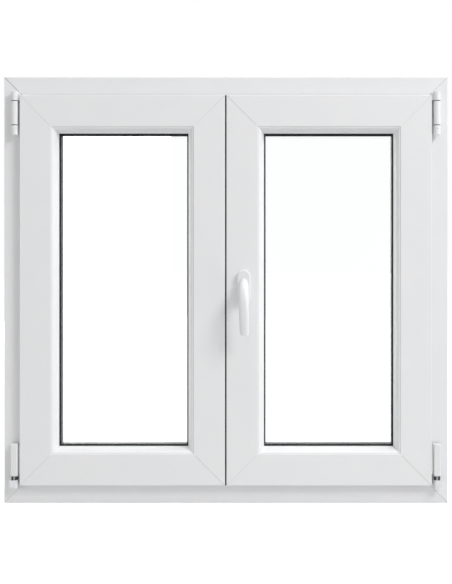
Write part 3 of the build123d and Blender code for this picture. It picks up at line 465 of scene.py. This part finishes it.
def screws():
    """Screws where the real ones are: in the lock's faceplate, bolt plates, keeps and hinges."""
    radius, height = 3.6 * MM, 1.0 * MM
    zinc = FINISHES["zinc_plated_steel"]

    low, high = np.array(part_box("lock_faceplate"))
    groove_y = (low[1] + high[1]) / 2
    shares = np.array((0.03, 0.22, 0.41, 0.61, 0.79, 0.97))
    heads = [screw_head((low[0], groove_y, z), (-1, 0, 0), radius, height)
             for z in shares * (high[2] - low[2]) + low[2]]
    new_piece("faceplate_screws", heads, zinc, "right_leaf")

    low, high = np.array(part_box("left_bolt_plates"))
    plate, end = 109.4 * MM, 8.0 * MM
    levels = (low[2] + end, low[2] + plate - end, high[2] - plate + end, high[2] - end)
    heads = [screw_head((high[0], groove_y, z), (1, 0, 0), radius, height) for z in levels]
    new_piece("bolt_plate_screws", heads, zinc, "left_leaf")

    low, high = np.array(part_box("frame_keeps"))
    keep_middle, spread, thick = 26.3 * MM, 13.0 * MM, 6.0 * MM
    columns = [side * keep_middle + step for side in (-1, 1) for step in (-spread, spread)]
    heads = [screw_head((x, groove_y, z), (0, 0, up), radius, height)
             for z, up in ((low[2] + thick, 1), (high[2] - thick, -1)) for x in columns]
    new_piece("keep_screws", heads, zinc, "frame")

    arm_thick, arm_setback, steps_mm = 2.6 * MM, 9.0 * MM, (10.0, 80.0, 150.0)
    for side, way in zip(SIDES, (-1, 1)):
        low, high = np.array(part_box(f"{side}_stay_arm"))
        free_end = high[0] if side == "left" else low[0]
        arm_y, arm_top = high[1] - arm_setback, low[2] + arm_thick
        heads = [screw_head((free_end + way * step * MM, arm_y, arm_top), (0, 0, 1), radius, height)
                 for step in steps_mm]
        new_piece(f"{side}_stay_screws", heads, zinc, f"{side}_leaf")

    low, high = np.array(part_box("right_stay_pin"))
    grub_radius, grub_height, grub_level = 1.3 * MM, 0.1 * MM, 758.5 * MM
    aside, proud = 0.4 * MM, 0.02 * MM
    place = ((low[0] + high[0]) / 2 + aside, low[1] - proud, grub_level)
    heads = [screw_head(place, (0, -1, 0), grub_radius, grub_height)]
    new_piece("hinge_grub_screw", heads, zinc, "frame")


lever()
frame_bars = ("frame_head", "frame_sill", "frame_jamb_left", "frame_jamb_right")
# The frame's seams: dust grey and painted shade in the groove, wider at the corners whose grooves
# lie across the light
weld_seams("frame_weld_seams", frame_bars, "frame", JOINT_DUST_AND_SHADE,
           (FRAME_ROUND, FRAME_FACE), (FRAME_ROUND, FRAME_FACE + FRAME_STOP), FRAME_SEAM_SHADE_WIDTHS)
for side in SIDES:
    gasket_lips(side)
    sash_edges(side)
    hinge_gap_shade_washers(side)
    bars = ("top_rail", "bottom_rail", "hinge_stile", "meeting_stile")
    # The leaves' seams: dulled grey weld bead, partly painted shade in the groove, wider at the
    # corners across the light
    weld_seams(f"{side}_weld_seams", [f"{side}_{bar}" for bar in bars], f"{side}_leaf", WELD_SEAM_AND_SHADE,
               (SASH_ROUND, SASH_FACE - SASH_INNER_ROUND), (SASH_LIP, SIGHTLINE), LEAF_SEAM_SHADE_WIDTHS[side])
screws()


def seen_directly(tree):
    """1 for rays from the camera, mirrored in gloss or seen through glass, else 0."""
    path = add(tree, "ShaderNodeLightPath")
    total = path.outputs["Is Camera Ray"]
    for other in ("Is Glossy Ray", "Is Transmission Ray"):
        either = {0: total, 1: path.outputs[other]}
        total = add(tree, "ShaderNodeMath", either, operation="MAXIMUM").outputs[0]
    return total


def studio_floor():
    """Pale floor: a level square, lifted to white where it is seen, that keeps the shadow."""
    half, lift, grey = 12.0, 0.75, "#DEDEDE"
    corners = [(-half, -half, 0.0), (half, -half, 0.0), (half, half, 0.0), (-half, half, 0.0)]
    mesh = bpy.data.meshes.new("studio_floor")
    mesh.from_pydata(corners, [], [(0, 1, 2, 3)])
    floor = bpy.data.objects.new("studio_floor", mesh)
    bpy.context.scene.collection.objects.link(floor)
    paint = bpy.data.materials.new("studio_floor_pale")
    paint.use_nodes = True
    tree = paint.node_tree
    shader = tree.nodes["Principled BSDF"]
    values = {"Base Color": linear(grey), "Roughness": 0.9, "Specular IOR Level": 0.0,
              "Emission Color": linear(WHITE)}
    for socket, value in values.items():
        shader.inputs[socket].default_value = value
    lifted = add(tree, "ShaderNodeMath", {0: seen_directly(tree), 1: lift}, operation="MULTIPLY")
    tree.links.new(lifted.outputs[0], shader.inputs["Emission Strength"])
    mesh.materials.append(paint)


def surroundings():
    """White surroundings: plain white where they are seen, and a dimmer even light elsewhere."""
    dimmer, plain_white = 0.38, 1.0
    world = bpy.data.worlds.new("studio_white")
    bpy.context.scene.world = world
    world.use_nodes = True
    tree = world.node_tree
    background = tree.nodes["Background"]
    background.inputs["Color"].default_value = linear(WHITE)
    levels = {"Value": seen_directly(tree), "To Min": dimmer, "To Max": plain_white}
    strength = add(tree, "ShaderNodeMapRange", levels)
    tree.links.new(strength.outputs["Result"], background.inputs["Strength"])


def lamp(name, elevation, azimuth, distance, width, power):
    """Square soft lamp at a distance from the window's middle.

    Elevation is from the window's plane towards the room, and azimuth is counted in that plane from
    the right over the top, both in degrees. Distance and width are in metres, power in watts.
    """
    window_middle = Vector((0.0, 0.0, 0.43))
    rise, turn = np.radians((elevation, azimuth))
    way = Vector((np.cos(rise) * np.cos(turn), -np.sin(rise), np.cos(rise) * np.sin(turn)))
    data = bpy.data.lights.new(name, "AREA")
    data.size = width
    data.energy = power
    made = bpy.data.objects.new(name, data)
    bpy.context.scene.collection.objects.link(made)
    made.location = window_middle + distance * way
    made.rotation_euler = way.to_track_quat("Z", "Y").to_euler()


def camera():
    """Level camera looking along +Y; the shift keeps the window where the picture has it."""
    data = bpy.data.cameras.new("photo_camera")
    data.sensor_width = SENSOR
    data.lens = LENS
    data.shift_x, data.shift_y = SHIFT
    made = bpy.data.objects.new("photo_camera", data)
    bpy.context.scene.collection.objects.link(made)
    made.location = EYE
    made.rotation_euler = (np.pi / 2, 0.0, 0.0)
    bpy.context.scene.camera = made


studio_floor()
surroundings()
lamp("key_lamp", 30.0, 46.0, 4.5, 1.5, 98.0)
lamp("right_lamp", 6.0, 2.0, 4.5, 1.7, 33.0)
lamp("top_lamp", 5.0, 88.0, 3.2, 1.2, 26.0)
lamp("left_fill", 35.0, 180.0, 3.2, 1.2, 11.0)
lamp("weather_lamp", -70.0, 172.0, 4.5, 2.0, 50.0)
camera()
bpy.context.scene.view_settings.view_transform = "Standard"
